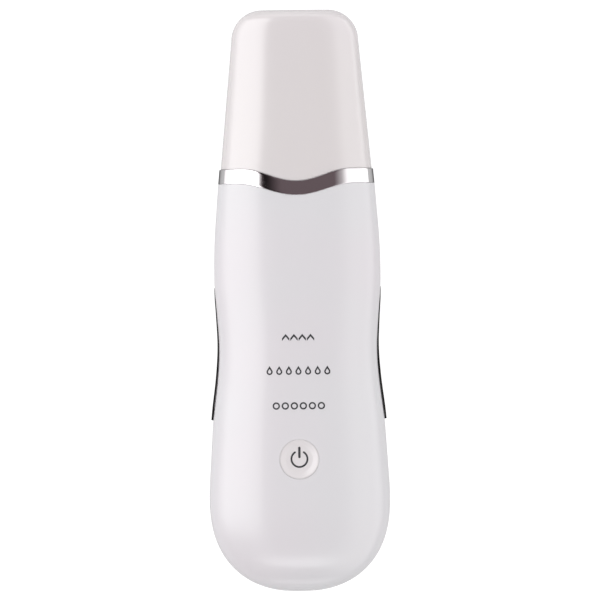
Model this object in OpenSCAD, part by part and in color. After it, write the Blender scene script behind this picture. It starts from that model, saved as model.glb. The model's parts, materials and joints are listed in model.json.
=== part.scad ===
// Handheld ultrasonic skin scrubber, lying on its back.
// X runs across the body, Y along it towards the blade, and Z up through the front face.
// The origin is under the middle of the object, on the surface that it lies on.

/* [Body] */
// Length from the tail to the end of the cap
overall_length = 174; // [172:0.5:176]
// Height of the joint line between the two shells above the rest surface
part_z = 12.2; // [12:0.1:12.6]
// Half-width of the body at its widest, near the tail
hip_half = 27.0; // [26.5:0.1:27.5]
// Half-width of the body at the finger waist
waist_half = 23.7; // [23.4:0.1:24]
// Half-width of the body at the shoulder, above the waist
shoulder_half = 24.85; // [24.5:0.1:25.2]
// Half-width of the neck under the chrome band
neck_half = 23.4; // [23.2:0.1:23.6]
// Thickness of the shell walls
wall = 2.0; // [1.8:0.1:2.2]

/* [Band and cap] */
// Where the band's lower edge meets the sides
band_y = 35.0; // [34.5:0.1:35.5]
// Height of the band along the body
band_height = 4.3; // [4:0.1:4.6]
// How far the band's wave dips at the middle
wave_dip = 3.6; // [3:0.1:3.8]
// Half of the wave's width along the band's lower edge
wave_half_low = 18.2; // [17.5:0.1:18.5]
// Half of the wave's width along the band's upper edge
wave_half_high = 16.4; // [15.5:0.1:17]
// Half-width of the cap at its mouth
cap_mouth_half = 22.6; // [22.4:0.1:22.8]
// Half-width of the cap where its top corners begin
cap_top_half = 19.0; // [18.6:0.1:19.4]
// Radius of the cap's top corners
cap_corner = 9.2; // [8.5:0.1:10]
// Length over which the cap's faces round off to its end
cap_round = 4.0; // [3.5:0.1:5]
// Thickness of the cap's wall
cap_wall = 1.6; // [1.5:0.1:1.7]

/* [Blade] */
// Thickness of the stainless steel blade
blade_t = 1.0; // [0.9:0.1:1]
// Half-width of the blade at its tip
blade_tip_half = 11.5; // [10:0.5:12]
// Height of the blade's flat part
blade_z = 11.0; // [10.9:0.1:11.1]
// Angle by which the blade's tip bends up
blade_bend = 26; // [20:1:28]

/* [Controls] */
// Position of the power button along the body
button_y = -47.2; // [-48:0.1:-46]
// Radius of the power button
button_r = 5.85; // [5.5:0.05:6]
// How far the button and the switch travel
button_travel = 0.4; // [0.2:0.05:0.5]
// Position of the middle mode light along the body
lights_y = -21.2; // [-22:0.1:-20]
// Spacing of the three mode lights
lights_pitch = 10.1; // [9.5:0.1:10.5]

/* [Side strips] */
// Upper end of the side electrode strips
strip_top = 4; // [2:0.5:5]
// Lower end of the side electrode strips
strip_bottom = -35.6; // [-37:0.1:-34]
// Half of the strips' greatest height across the joint line
strip_half = 3.1; // [2.5:0.1:3.5]

/* [Hidden] */
$fn = 48;

white = [0.93, 0.93, 0.95];
chrome = [0.82, 0.82, 0.84];
dark_chrome = [0.12, 0.11, 0.12];
steel = [0.72, 0.73, 0.75];
brass = [0.75, 0.6, 0.3];
silicone = [0.86, 0.87, 0.88];
rubber = [0.3, 0.3, 0.32];
black = [0.08, 0.08, 0.09];
ceramic = [0.75, 0.7, 0.6];
red = [0.75, 0.08, 0.06];
yellow = [0.8, 0.7, 0.1];

half_length = overall_length / 2;
tail_y = -59;                      // the round tail begins here
tail_len = half_length + tail_y;   // and is this long
tail_power = 2.33;                 // roundness of the tail in plan
section_power = 2.8;               // squareness of the cross-sections
front_tail = 12.2;                 // rise of the front face above the joint line, at the tail
back_tail = 13.4;                  // drop of the back face below it, before the flat cuts it at Z = 0
cap_inset = 0.5;                   // the cap is this much inside the band
cap_clear = 0.35;                  // gap between the cap and the neck inside it
neck_inset = cap_inset + cap_wall + cap_clear;
neck_inner_inset = 4.1;            // the inside of the neck
spigot_inset = 1.7;                // the shells under the band
spigot_inner_inset = 3.3;          // the inside of the shells there
neck_end = 47.5;                   // where the shells end inside the cap
fit = 0.05;                        // gap between pieces that are fixed to each other
arc_steps = 20;                    // facets round half of a section
eps = 0.01;

// Half-widths and rises at stations along Y, tail to neck
width_stations = [[tail_y, hip_half], [-48, 26.45], [-33.5, 25.45], [-22.6, 24.2], [-13.5, waist_half],
    [-4.5, 24.15], [5, shoulder_half], [17, 24.7], [28, 23.95], [band_y, neck_half], [50, 22], [60, 21]];
front_stations = [[tail_y, front_tail], [-25, 11.5], [5, 10.7], [band_y, 9.3], [50, 8.6], [60, 8.1]];
back_stations = [[tail_y, back_tail], [-25, 13.1], [5, 12.4], [band_y, 9.3], [50, 8.6], [60, 8.1]];

// ---------- curves ----------

function clamp01(t) = min(1, max(0, t));
function ease(t) = let (u = clamp01(t)) u * u * (3 - 2 * u);
function mix(a, b, t) = a + (b - a) * t;

// Smooth curve through stations [y, value]
function slope(s, i) = let (a = max(0, i - 1), b = min(len(s) - 1, i + 1))
    i == 0 ? 0 : (s[b][1] - s[a][1]) / (s[b][0] - s[a][0]);
function hermite(s, i, y) =
    let (h = s[i + 1][0] - s[i][0], t = (y - s[i][0]) / h, a = slope(s, i) * h, b = slope(s, i + 1) * h)
    s[i][1] * (1 + 2 * t) * (1 - t) * (1 - t) + a * t * (1 - t) * (1 - t)
    + s[i + 1][1] * t * t * (3 - 2 * t) - b * t * t * (1 - t);
function station(s, y, i = 0) = i >= len(s) - 2 || y <= s[i + 1][0] ? hermite(s, i, y) : station(s, y, i + 1);
function along(s, y) = y <= s[0][0] ? s[0][1] : station(s, y);

// How much of the section is left in the round tail, for a surface that is inset from the outside
function tail_share(y, inset) = let (t = clamp01((tail_y - y) / (tail_len - inset)))
    y >= tail_y ? 1 : pow(1 - pow(t, tail_power), 1 / tail_power);

// How far a line across the body at y bends down towards the tail, to follow the band
function dip(x, y) =
    let (half = mix(wave_half_low, wave_half_high, clamp01((y - band_y) / band_height)))
    abs(x) >= half ? 0 : wave_dip * (1 + cos(180 * x / half)) / 2;
function spread(c) = sign(c) * pow(abs(c), 2 / section_power);

// A point of a section: half-width w, rise f above the joint line and drop b below it
function section_point(w, f, b, y, angle) = [
    w * spread(cos(angle)), y,
    max(0, part_z + (sin(angle) >= 0 ? f : b) * spread(sin(angle)))
];

// ---------- body surface ----------

function body_half(y, inset) = (along(width_stations, y) - inset) * tail_share(y, inset);
function front_rise(y, inset) = (along(front_stations, y) - inset) * tail_share(y, inset);
function back_drop(y, inset) = (along(back_stations, y) - inset) * tail_share(y, inset);

// A point of the body, for a station [y, share of the wave, inset]
function body_point(st, angle) =
    let (x = body_half(st[0], st[2]) * spread(cos(angle)), y = st[0] - st[1] * dip(x, st[0]),
         i = st[2], p = section_point(body_half(y, i), front_rise(y, i), back_drop(y, i), y, angle))
    [p[0], p[1], max(p[2], i)];

function tail_station(a, inset) = [tail_y - (tail_len - inset) * sin(a), 0, inset];
tail_angles = [88, 84, 78, 70, 60, 48, 34, 18];
body_ys = concat([tail_y, -51, -44], [for (y = [-38 : 4 : 6]) y], [13, 20, 25]);
function shell_stations(inset, under_band, inside_cap) = concat(
    [for (a = tail_angles) tail_station(a, inset)],
    [for (y = body_ys) [y, 0, inset]],
    [[28, 0.35, inset], [31.5, 0.75, inset], [band_y, 1, inset], [band_y + eps, 1, under_band],
     [band_y + band_height, 1, under_band], [band_y + band_height + eps, 1, inside_cap],
     [43, 0.5, inside_cap], [neck_end, 0, inside_cap]]
);

// ---------- lofts ----------

// Joins rings of equal length into a surface, two triangles to each cell
function strip_faces(count, n, first, step) = [for (r = [0 : count - 2]) for (i = [0 : n - 1])
    for (f = let (a = first + r * step + i, b = first + r * step + (i + 1) % n, c = a + step, d = b + step)
        [[a, b, d], [a, d, c]]) f];
function fan_faces(n, first) = [for (i = [1 : n - 2]) [first, first + i, first + i + 1]];
function rim_faces(n, outer, inner) = [for (i = [0 : n - 1]) for (f = let (j = (i + 1) % n)
    [[outer + i, outer + j, inner + j], [outer + i, inner + j, inner + i]]) f];
function flip(faces) = [for (f = faces) [f[2], f[1], f[0]]];
function flatten(l) = [for (a = l) for (b = a) b];

// A wall whose section is open: each ring runs along the outside and back along the inside
module open_wall(outer, inner) {
    m = len(outer[0]);
    n = 2 * m;
    count = len(outer);
    rings = [for (r = [0 : count - 1]) concat(outer[r], [for (i = [m - 1 : -1 : 0]) inner[r][i]])];
    last = (count - 1) * n;
    ends = [for (i = [0 : m - 2]) for (f = [[i, n - 1 - i, i + 1], [i + 1, n - 1 - i, n - 2 - i]]) f];
    polyhedron(flatten(rings), concat(
        strip_faces(count, n, 0, n),
        ends,
        flip([for (f = ends) [f[0] + last, f[1] + last, f[2] + last]])
    ), convexity = 6);
}

// A closed tube with a wall; closed = true gives it a wall across its last ring
module tube_wall(outer, inner, closed = false) {
    n = len(outer[0]);
    outer_count = len(outer);
    inner_count = len(inner);
    base = outer_count * n;
    out_last = (outer_count - 1) * n;
    in_last = base + (inner_count - 1) * n;
    polyhedron(concat(flatten(outer), flatten(inner)), concat(
        strip_faces(outer_count, n, 0, n),
        flip(strip_faces(inner_count, n, base, n)),
        flip(rim_faces(n, 0, base)),
        closed ? fan_faces(n, out_last) : rim_faces(n, out_last, in_last),
        closed ? flip(fan_faces(n, in_last)) : []
    ), convexity = 6);
}

// A solid between a first and a last ring
module solid_loft(rings) {
    n = len(rings[0]);
    polyhedron(flatten(rings), concat(
        strip_faces(len(rings), n, 0, n),
        flip(fan_faces(n, 0)),
        fan_faces(n, (len(rings) - 1) * n)
    ), convexity = 4);
}

function half_angles(from) = [for (i = [0 : arc_steps]) from + 180 * i / arc_steps];
full_angles = [for (i = [0 : 2 * arc_steps - 1]) 180 * i / arc_steps];

// ---------- wires ----------

wire_sides = 8;                    // facets round a wire
wire_parts = 4;                    // pieces of a wire between two of its points
function unit(v) = v / norm(v);

// A smooth curve from point i of p to the next one
function wire_curve(p, i, t) =
    let (a = p[max(0, i - 1)], b = p[i], c = p[i + 1], d = p[min(len(p) - 1, i + 2)],
         bend = 2 * a - 5 * b + 4 * c - d, twist = 3 * b - a - 3 * c + d)
    0.5 * (2 * b + (c - a) * t + bend * t * t + twist * t * t * t);
function wire_line(p) = concat(
    [for (i = [0 : len(p) - 2]) for (k = [0 : wire_parts - 1]) wire_curve(p, i, k / wire_parts)],
    [p[len(p) - 1]]
);
function wire_ring(centre, direction, lean, r) =
    let (t = unit(direction), u = unit(cross(t, lean)), v = cross(u, t))
    [for (k = [0 : wire_sides - 1]) let (a = 360 * k / wire_sides) centre + r * (cos(a) * u + sin(a) * v)];

// A round wire through the points; lean is any direction that the wire doesn't run along
module wire(points, r, lean) {
    line = wire_line(points);
    last = len(line) - 1;
    solid_loft([for (i = [0 : last])
        wire_ring(line[i], line[min(last, i + 1)] - line[max(0, i - 1)], lean, r)]);
}

module rounded_rect(x, y, r) {
    for (i = [-1, 1]) for (j = [-1, 1]) translate([i * (x / 2 - r), j * (y / 2 - r)]) circle(r);
    square([x - 2 * r, y], center = true);
    square([x, y - 2 * r], center = true);
}

// ---------- casing ----------

board_z = 13.8;                    // the board's rear face
board_t = 1.2;
board_top = board_z + board_t;
socket_z = 12.2;                   // height of the charging socket's middle
socket_cut = [8.4, 3.4];           // the opening for the socket in the two shells
boss_places = [[-13.5, -57], [13.5, -57], [-13.5, 3], [13.5, 3]];
boss_r = 2.2;
neck_screw_places = [[-14.8, 43.2], [14.8, 43.2]];
neck_boss_r = 2.3;
neck_seat_z = 8.6;                 // where the heads of the neck's screws sit
neck_head_r = 2.0;                 // the pockets for those heads
clamp_places = [[-7, 13], [7, 13]];
clamp_boss_r = 2.6;
pad_t = 0.6;                       // thickness of the damping pads
pilot_r = 0.8;                     // the holes that the screws cut their threads into
through_r = 1.1;                   // the holes that the screws pass through
stud_y = -16;                      // the studs behind the side strips
stud_z = 9.8;
tab_ys = [-57, -38, -4, 18];       // the tongues that line the shells up
rib_h = 4;                         // the ribs round the battery
rib_t = 1.2;
label_size = [18, 34];
label_y = -41;
label_corner = 2;
label_pocket = 0.2;                // depth of the pocket under the rating label

module socket_opening() {
    translate([-socket_cut[0] / 2, -half_length - 1, socket_z - socket_cut[1] / 2])
        cube([socket_cut[0], 6, socket_cut[1]]);
}

module half_shell(from) {
    angles = half_angles(from);
    outer = [for (s = shell_stations(0, spigot_inset, neck_inset)) [for (a = angles) body_point(s, a)]];
    inner = [for (s = shell_stations(wall, spigot_inner_inset, neck_inner_inset))
        [for (a = angles) body_point(s, a)]];
    open_wall(outer, inner);
}

module front_shell() color(white) difference() {
    union() {
        half_shell(0);
        for (p = boss_places) translate([p[0], p[1], board_top])
            cylinder(r = boss_r, h = part_z + 0.87 * front_rise(p[1], 0) - board_top);
        for (p = neck_screw_places) translate([p[0], p[1], part_z + fit]) cylinder(r = neck_boss_r, h = 4);
    }
    translate([0, button_y, part_z]) cylinder(r = button_r + button_clear, h = 20);
    for (p = boss_places) translate([p[0], p[1], board_top - 1]) cylinder(r = pilot_r, h = 5);
    for (p = neck_screw_places) translate([p[0], p[1], part_z - 1]) cylinder(r = pilot_r, h = 4.2);
    socket_opening();
}

// A tongue on the rear shell that stands up inside the front shell's wall and lines the two up
module joint_tab(side, y) {
    face = body_half(y, wall) - 0.55;
    width = 6;
    low = part_z - 3.5;
    tongue = [1.2, width, 5.7];
    foot = [1.8, width, 3.4];
    translate([side * (face - tongue[0] / 2) - tongue[0] / 2, y - width / 2, low]) cube(tongue);
    translate([side * face - foot[0] / 2, y - width / 2, low]) cube(foot);
}

// Ribs that hold the battery on the floor of the rear shell, two across and four along
module battery_ribs() {
    for (y = [-60.3, -15.2]) translate([-10, y, wall - 0.4]) cube([20, rib_t, rib_h]);
    for (x = [-14, 12.8]) for (y = [-52, -30]) translate([x, y, wall - 0.4]) cube([rib_t, 8, rib_h]);
}

module rear_shell() color(white) difference() {
    clamp_boss_low = wall - 0.2;
    clamp_boss_top = blade_z - blade_t / 2 - pad_t;
    head_pocket_low = 3;
    union() {
        half_shell(180);
        for (p = neck_screw_places) translate([p[0], p[1], 8]) cylinder(r = neck_boss_r, h = part_z - 8);
        for (p = clamp_places) translate([p[0], p[1], clamp_boss_low])
            cylinder(r = clamp_boss_r, h = clamp_boss_top - clamp_boss_low);
        for (s = [-1, 1]) for (y = tab_ys) joint_tab(s, y);
        battery_ribs();
    }
    for (p = neck_screw_places) translate([p[0], p[1], head_pocket_low]) {
        cylinder(r = neck_head_r, h = neck_seat_z - head_pocket_low);
        cylinder(r = through_r, h = 12);
    }
    for (p = clamp_places) translate([p[0], p[1], 5]) cylinder(r = pilot_r, h = 8);
    for (s = [-1, 1]) translate([s * 20, stud_y, stud_z]) rotate([0, 90 * s, 0])
        cylinder(r = stud_r + 0.1, h = 8);
    translate([0, label_y, label_pocket - 1]) linear_extrude(1)
        rounded_rect(label_size[0] + 0.2, label_size[1] + 0.2, label_corner + 0.1);
    socket_opening();
}

module chrome_band() color(chrome) {
    gap = 0.04;
    ends = [band_y + gap, band_y + band_height - gap];
    tube_wall(
        [for (y = ends) [for (a = full_angles) body_point([y, 1, 0], a)]],
        [for (y = ends) [for (a = full_angles) body_point([y, 1, spigot_inset - fit], a)]]
    );
}

module rating_label() color([0.8, 0.8, 0.82])
    translate([0, label_y, 0.05]) linear_extrude(label_pocket - 0.05)
        rounded_rect(label_size[0], label_size[1], label_corner);

// ---------- cap ----------

cap_mouth = band_y + band_height + 0.25;
cap_front = [8.6, 6.9];            // rise of the cap at its mouth and where its top begins
cap_top_y = half_length - cap_corner;
cap_round_y = half_length - cap_round;
cap_end_share = 0.985;             // how much of a full rounding is made; the rest is a flat end
cap_round_power = 2.4;
function cap_side(y) = mix(cap_mouth_half, cap_top_half, (y - cap_mouth) / (cap_top_y - cap_mouth));
function cap_half(y, inset) = let (r = cap_corner - inset, d = clamp01((y - cap_top_y) / r))
    y <= cap_top_y ? cap_side(y) - inset : cap_top_half - cap_corner + r * sqrt(1 - d * d);
function cap_rise(y, inset) =
    let (f = mix(cap_front[0], cap_front[1], (y - cap_mouth) / (cap_top_y - cap_mouth)) - inset,
         t = cap_end_share * clamp01((y - cap_round_y) / (cap_round - inset)))
    y <= cap_round_y ? f : f * pow(1 - pow(t, cap_round_power), 1 / cap_round_power);
function cap_point(st, angle) =
    let (x = cap_half(st[0], st[2]) * spread(cos(angle)), y = st[0] - st[1] * dip(x, st[0]),
         f = cap_rise(y, st[2]))
    section_point(cap_half(y, st[2]), f, f, y, angle);
cap_stations = [[cap_mouth, 1], [43.5, 0.65], [48, 0.25], [53, 0], [59, 0], [65, 0], [71, 0], [76, 0],
    [cap_top_y, 0]];
cap_end_angles = [16, 27, 36, 45, 55, 65, 75, 83, 90];
function cap_rings(inset, end) = [
    for (s = concat(cap_stations, [for (e = cap_end_angles) [mix(cap_top_y, end, sin(e)), 0]]))
        [for (a = full_angles) cap_point([s[0], s[1], inset], a)]
];

module protective_cap() color(white)
    tube_wall(cap_rings(0, half_length), cap_rings(cap_wall, half_length - cap_wall), closed = true);

// ---------- blade unit ----------

nose_end = 51.5;
// Along the plug: [y, inset]
nose_stations = [[41.5, 4.3], [neck_end + fit, 4.3], [neck_end + fit + eps, neck_inset],
    [49.2, neck_inset], [50.4, 2.9], [51.2, 3.9], [nose_end, 5.0]];
seal_size = [23, 9.6, 3.6];
seal_y = 42.5;
blade_root_half = 10;
blade_root_y = 9;
blade_shoulder_half = 13.4;
blade_shoulder_y = 52.3;
blade_corner = 1.5;
edge_t = 0.25;                     // thickness of the blade's ground edge
edge_len = 2.5;                    // length over which it is ground
bend_y = 62;                       // the blade's tip starts to bend here
bend_r = 18;
tip_len = 5.5;
tip_y = bend_y + bend_r * sin(blade_bend) + tip_len * cos(blade_bend);

module nose_plug() color(white) difference() {
    solid_loft([for (s = nose_stations) [for (a = full_angles) body_point([s[0], 0, s[1]], a)]]);
    translate([-seal_size[0] / 2 - fit, 40, blade_z - seal_size[2] / 2 - fit])
        cube([seal_size[0] + 2 * fit, 14, seal_size[2] + 2 * fit]);
    for (p = neck_screw_places) translate([p[0], p[1], 0]) cylinder(r = neck_boss_r + 0.3, h = 30);
}

module blade_seal() color(silicone) difference() {
    side_gap = 0.03;
    face_gap = 0.02;
    translate([-seal_size[0] / 2, seal_y, blade_z - seal_size[2] / 2]) cube(seal_size);
    translate([-blade_root_half - side_gap, 40, blade_z - blade_t / 2 - face_gap])
        cube([2 * (blade_root_half + side_gap), 14, blade_t + 2 * face_gap]);
}

// Outline of the blade from above, before it is bent
module blade_outline() {
    translate([-blade_root_half, blade_root_y]) square([2 * blade_root_half, 44]);
    hull() {
        translate([-blade_shoulder_half, blade_shoulder_y]) square([2 * blade_shoulder_half, 1]);
        for (s = [-1, 1]) translate([s * (blade_tip_half - blade_corner), tip_y - blade_corner])
            circle(blade_corner, $fn = 32);
    }
}

// The blade from the side: its flat part, its bend, and its tip that is ground thin from behind
module blade_profile() {
    t = blade_t / 2;
    tip_outline = [[0, -t], [tip_len - edge_len, -t], [tip_len, t - edge_t], [tip_len, t], [0, t]];
    translate([blade_root_y, -t]) square([bend_y - blade_root_y, blade_t]);
    translate([bend_y, bend_r]) intersection() {
        difference() {
            circle(bend_r + t, $fn = 96);
            circle(bend_r - t, $fn = 96);
        }
        polygon([[0, 0], [0, -2 * bend_r], [2 * bend_r * sin(blade_bend), -2 * bend_r * cos(blade_bend)]]);
    }
    translate([bend_y + bend_r * sin(blade_bend), bend_r * (1 - cos(blade_bend))]) rotate(blade_bend)
        translate([-eps, 0]) polygon(tip_outline);
}

module spatula_blade() color(steel) difference() {
    intersection() {
        linear_extrude(30) blade_outline();
        translate([-20, 0, blade_z]) rotate([90, 0, 90]) linear_extrude(40) blade_profile();
    }
    clamp_holes();
}

disc_y = 26;
disc_r = 9.6;
disc_t = 1.6;
module front_piezo_disc() color(ceramic) translate([0, disc_y, blade_z + blade_t / 2])
    cylinder(r = disc_r, h = disc_t);
module rear_piezo_disc() color(ceramic) translate([0, disc_y, blade_z - blade_t / 2 - disc_t])
    cylinder(r = disc_r, h = disc_t);

bar_size = [20, 6.2, 1.8];         // the clamp bar; the damping pads are as long and as wide
bar_z = blade_z + blade_t / 2 + pad_t;
module clamp_holes() for (p = clamp_places) translate([p[0], p[1], 0]) cylinder(r = through_r + fit, h = 30);
module clamp_layer(z, thickness) difference() {
    translate([-bar_size[0] / 2, clamp_places[0][1] - 3.4, z]) cube([bar_size[0], bar_size[1], thickness]);
    clamp_holes();
}
module front_damping_pad() color(rubber) clamp_layer(blade_z + blade_t / 2, pad_t);
module rear_damping_pad() color(rubber) clamp_layer(blade_z - blade_t / 2 - pad_t, pad_t);
module blade_clamp() color([0.15, 0.15, 0.16]) clamp_layer(bar_z, bar_size[2]);

// The screws are drawn under the pilot holes' radius, so that the bite of a thread isn't an overlap
tap_r = pilot_r - 0.02;
point_len = 0.6;                   // the screws' conical points
recess = [0.5, 0.6];               // width and depth of the cross in their heads

// A pan-head screw, head up, its seat at the origin
module screw(length, head_r, head_h) difference() {
    union() {
        cylinder(r = head_r, h = head_h);
        translate([0, 0, -length]) cylinder(r = tap_r, h = length);
        translate([0, 0, -length - point_len]) cylinder(r1 = 0.2, r2 = tap_r, h = point_len);
    }
    for (a = [0, 90]) rotate(a) translate([-0.6 * head_r, -recess[0] / 2, head_h - recess[1]])
        cube([1.2 * head_r, recess[0], 1]);
}
module clamp_screws() color(steel) for (p = clamp_places)
    translate([p[0], p[1], bar_z + bar_size[2]]) screw(8, 1.8, 1.1);
module board_screws() color(steel) for (p = boss_places)
    translate([p[0], p[1], board_z]) rotate([180, 0, 0]) screw(4.2, 1.7, 1.0);
module shell_screws() color(steel) for (p = neck_screw_places)
    translate([p[0], p[1], neck_seat_z]) rotate([180, 0, 0]) screw(6, 1.85, 1.1);

// ---------- electronics ----------

board_half = 16.5;
board_right = [[5.5, -83.6], [9, -79], [board_half, -68], [board_half, 8]];
board_left = [for (i = [3 : -1 : 0]) [-board_right[i][0], board_right[i][1]]];
module circuit_board() color([0.1, 0.35, 0.2]) difference() {
    translate([0, 0, board_z]) linear_extrude(board_t) polygon(concat(board_right, board_left));
    for (p = boss_places) translate([p[0], p[1], board_z - 1]) cylinder(r = through_r, h = 4);
}

led_size = [3.5, 2.8, 1.9];
light_ys = [for (i = [-1, 0, 1]) lights_y + i * lights_pitch];
module mode_leds() color([0.95, 0.93, 0.75]) for (y = light_ys)
    translate([-led_size[0] / 2, y - led_size[1] / 2, board_top]) cube(led_size);

shroud_size = [23, 30.4, 5.4];
window_size = [20.6, 8.6, 8];      // the three windows in the shroud
module light_shroud() color([0.16, 0.16, 0.17]) difference() {
    translate([-shroud_size[0] / 2, lights_y - shroud_size[1] / 2, board_top]) cube(shroud_size);
    for (y = light_ys) translate([-window_size[0] / 2, y - window_size[1] / 2, board_top - 1])
        cube(window_size);
}

switch_size = [6, 6, 3.5];
switch_floor = 1.6;                // the bottom of the switch's well
plunger_r = 1.7;
plunger_h = 2.1;
plunger_z = board_top + switch_floor + button_travel + 0.2;
module switch_body() color(black) translate([0, button_y, board_top]) difference() {
    translate([-switch_size[0] / 2, -switch_size[1] / 2, 0]) cube(switch_size);
    translate([0, 0, switch_floor]) cylinder(r = plunger_r + fit, h = 4);
}
module switch_plunger() color([0.85, 0.84, 0.8]) translate([0, button_y, plunger_z])
    cylinder(r = plunger_r, h = plunger_h);

button_face = part_z + 11.9;
button_clear = 0.15;               // gap round the button
button_low = 20.9;                 // underside of the button and its flange
flange_r = 7.2;
flange_t = 0.8;
stem_r = 1.6;
dish_r = 30;                       // radius of the sphere that dishes the button's face
dish_depth = 0.65;
module power_button() color(white) translate([0, button_y, 0]) difference() {
    union() {
        translate([0, 0, button_low]) cylinder(r = button_r, h = button_face - button_low);
        translate([0, 0, button_low]) cylinder(r = flange_r, h = flange_t);
        translate([0, 0, plunger_z + plunger_h + fit]) cylinder(r = stem_r, h = 2);
    }
    translate([0, 0, button_face + dish_r - dish_depth]) sphere(r = dish_r, $fn = 96);
}

leg_pitch = 1.27;
leg_t = 0.25;
// A chip under the board with a row of legs to each side, its low corner at [x, y]
module chip(x, y, width, length, height, legs) translate([x, y, board_z]) {
    reach = 0.9;
    translate([0, 0, -height]) cube([width, length, height - 0.1]);
    for (i = [0 : legs - 1]) translate([-reach, 0.35 + i * leg_pitch, -leg_t])
        cube([width + 2 * reach, 0.45, leg_t]);
    translate([0.2, 0.2, -0.3]) cube([width - 0.4, length - 0.4, 0.3]);
}
module microcontroller() color(black) chip(4, -32, 4, 10, 1.6, 8);
module charger_chip() color(black) chip(-7, -70, 4, 5, 1.5, 4);

transistor_size = [3, 3, 1.4];
module power_transistors() color(black) for (y = [-22, -28]) translate([-9, y, board_z]) {
    translate([0, 0, -1.5]) cube(transistor_size);
    for (x = [-0.7, 2.9]) translate([x, 0.8, -0.4]) cube([0.8, 1.4, 0.4]);
}

resistor_size = [0.9, 1.7, 0.6];
module chip_resistors() color([0.2, 0.18, 0.16])
    for (x = [-14, -12]) for (y = [-46 : 4 : -30])
        translate([x, y, board_z - resistor_size[2]]) cube(resistor_size);

transformer_place = [1, -4];
core_size = [11, 10, 8.2];
core_window = [8, 12, 5];          // the opening that the winding runs through
module transformer_core() color([0.22, 0.22, 0.24])
    translate([transformer_place[0], transformer_place[1], board_z - core_size[2]]) difference() {
        translate([-core_size[0] / 2, -core_size[1] / 2, 0]) cube(core_size);
        translate([-core_window[0] / 2, -core_window[1] / 2, 1.6]) cube(core_window);
    }
module transformer_winding() color([0.65, 0.35, 0.15])
    translate([transformer_place[0], transformer_place[1], board_z - 6.5])
        linear_extrude(4.8) rounded_rect(7.6, 9.2, 2);

capacitor_h = 7;
module electrolytic_capacitor() color([0.1, 0.14, 0.3]) translate([11.3, -5, board_z - capacitor_h]) union() {
    cylinder(r = 2.5, h = capacitor_h);
    translate([0, 0, -0.4]) cylinder(r = 2.2, h = 1);
}

// Micro-B outline: flat top, with its lower corners cut off
module micro_b(x, z, cut) polygon([[-x / 2, z / 2], [x / 2, z / 2], [x / 2, -z / 2 + cut],
    [x / 2 - cut, -z / 2], [-x / 2 + cut, -z / 2], [-x / 2, -z / 2 + cut]]);
socket_mouth = -half_length + 0.6;
socket_depth = 5.6;
socket_back = 0.4;                 // thickness of the wall across its inner end
tongue_size = [3.6, 4.25, 0.6];
module charging_socket() color(steel)
    translate([0, socket_mouth + socket_depth, socket_z]) rotate([90, 0, 0]) difference() {
        linear_extrude(socket_depth) micro_b(7.5, 3.0, 0.9);
        translate([0, 0, socket_back]) linear_extrude(6) micro_b(6.9, 2.4, 0.8);
    }
module socket_tongue() color(black)
    translate([-tongue_size[0] / 2, socket_mouth + 0.9, socket_z + 0.15]) cube(tongue_size);

// ---------- battery ----------

tape_size = [18, 39, 0.5];
cell_length = 39;
cell_low_y = -57.5;
module battery_tape() color([0.9, 0.9, 0.85]) translate([-tape_size[0] / 2, cell_low_y + 0.5, wall])
    cube(tape_size);

// A pouch cell: its soft sides, its rounded body and the folded seam at its upper end
module battery_cell() color([0.6, 0.62, 0.66]) translate([0, cell_low_y, wall + tape_size[2]]) union() {
    edge_r = 1.2;
    translate([-12, 0, 0.8]) cube([24, cell_length, 5.6]);
    hull() for (x = [-10.5, 10.5]) for (z = [edge_r, 6.0]) translate([x, cell_length, z])
        rotate([90, 0, 0]) cylinder(r = edge_r, h = cell_length, $fn = 24);
    translate([-11, cell_length, 2.6]) cube([22, 2, 1.6]);
}

plug_size = [4.2, 5.4, 2.0];
module battery_socket() color([0.92, 0.9, 0.84]) difference() {
    translate([-15.5, -16.5, board_z - 3.4]) cube([6, 4.4, 3.4]);
    translate([-14.7, -17.5, board_z - 2.8]) cube([plug_size[0] + 0.2, 4.4, plug_size[2] + 0.2]);
}
module battery_plug() color([0.88, 0.86, 0.8]) translate([-14.6, -18.6, board_z - 2.7]) cube(plug_size);

// ---------- side strips ----------

function strip_share(y) = (strip_top - y) / (strip_top - strip_bottom);
strip_point = 0.35;                // half of the strip's height at its upper end
strip_cells = 6;                   // facets across a strip

// Half of the strip's height: it widens downwards, and its lower end is rounded
function strip_height(y) = let (s = strip_share(y))
    strip_point + (strip_half - strip_point) * ease(s / 0.62) * sqrt(1 - pow(clamp01((s - 0.86) / 0.145), 2));
function strip_proud(y) = 0.12 + 0.5 * pow(strip_share(y), 0.45);
strip_ys = concat([for (i = [0 : 16]) mix(strip_top, strip_bottom + 3, i / 16)],
    [for (d = [2.2, 1.4, 0.8, 0.35, 0]) strip_bottom + d]);

// A point on the body's side at height z above the joint line, out by a distance
function side_point(y, z, out) =
    let (w = body_half(y, 0), h = z >= 0 ? front_rise(y, 0) : back_drop(y, 0))
    [w * pow(1 - pow(abs(z) / h, section_power), 1 / section_power) + out, y, part_z + z];
function strip_ring(y) = let (h = strip_height(y)) concat(
    [for (i = [0 : strip_cells]) let (u = -1 + 2 * i / strip_cells)
        side_point(y, h * u, fit + strip_proud(y) * (1 - 0.25 * pow(abs(u), 4)))],
    [for (i = [strip_cells : -1 : 0]) side_point(y, h * (-1 + 2 * i / strip_cells), fit)]
);

module right_strip() solid_loft([for (i = [len(strip_ys) - 1 : -1 : 0]) strip_ring(strip_ys[i])]);

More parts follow.
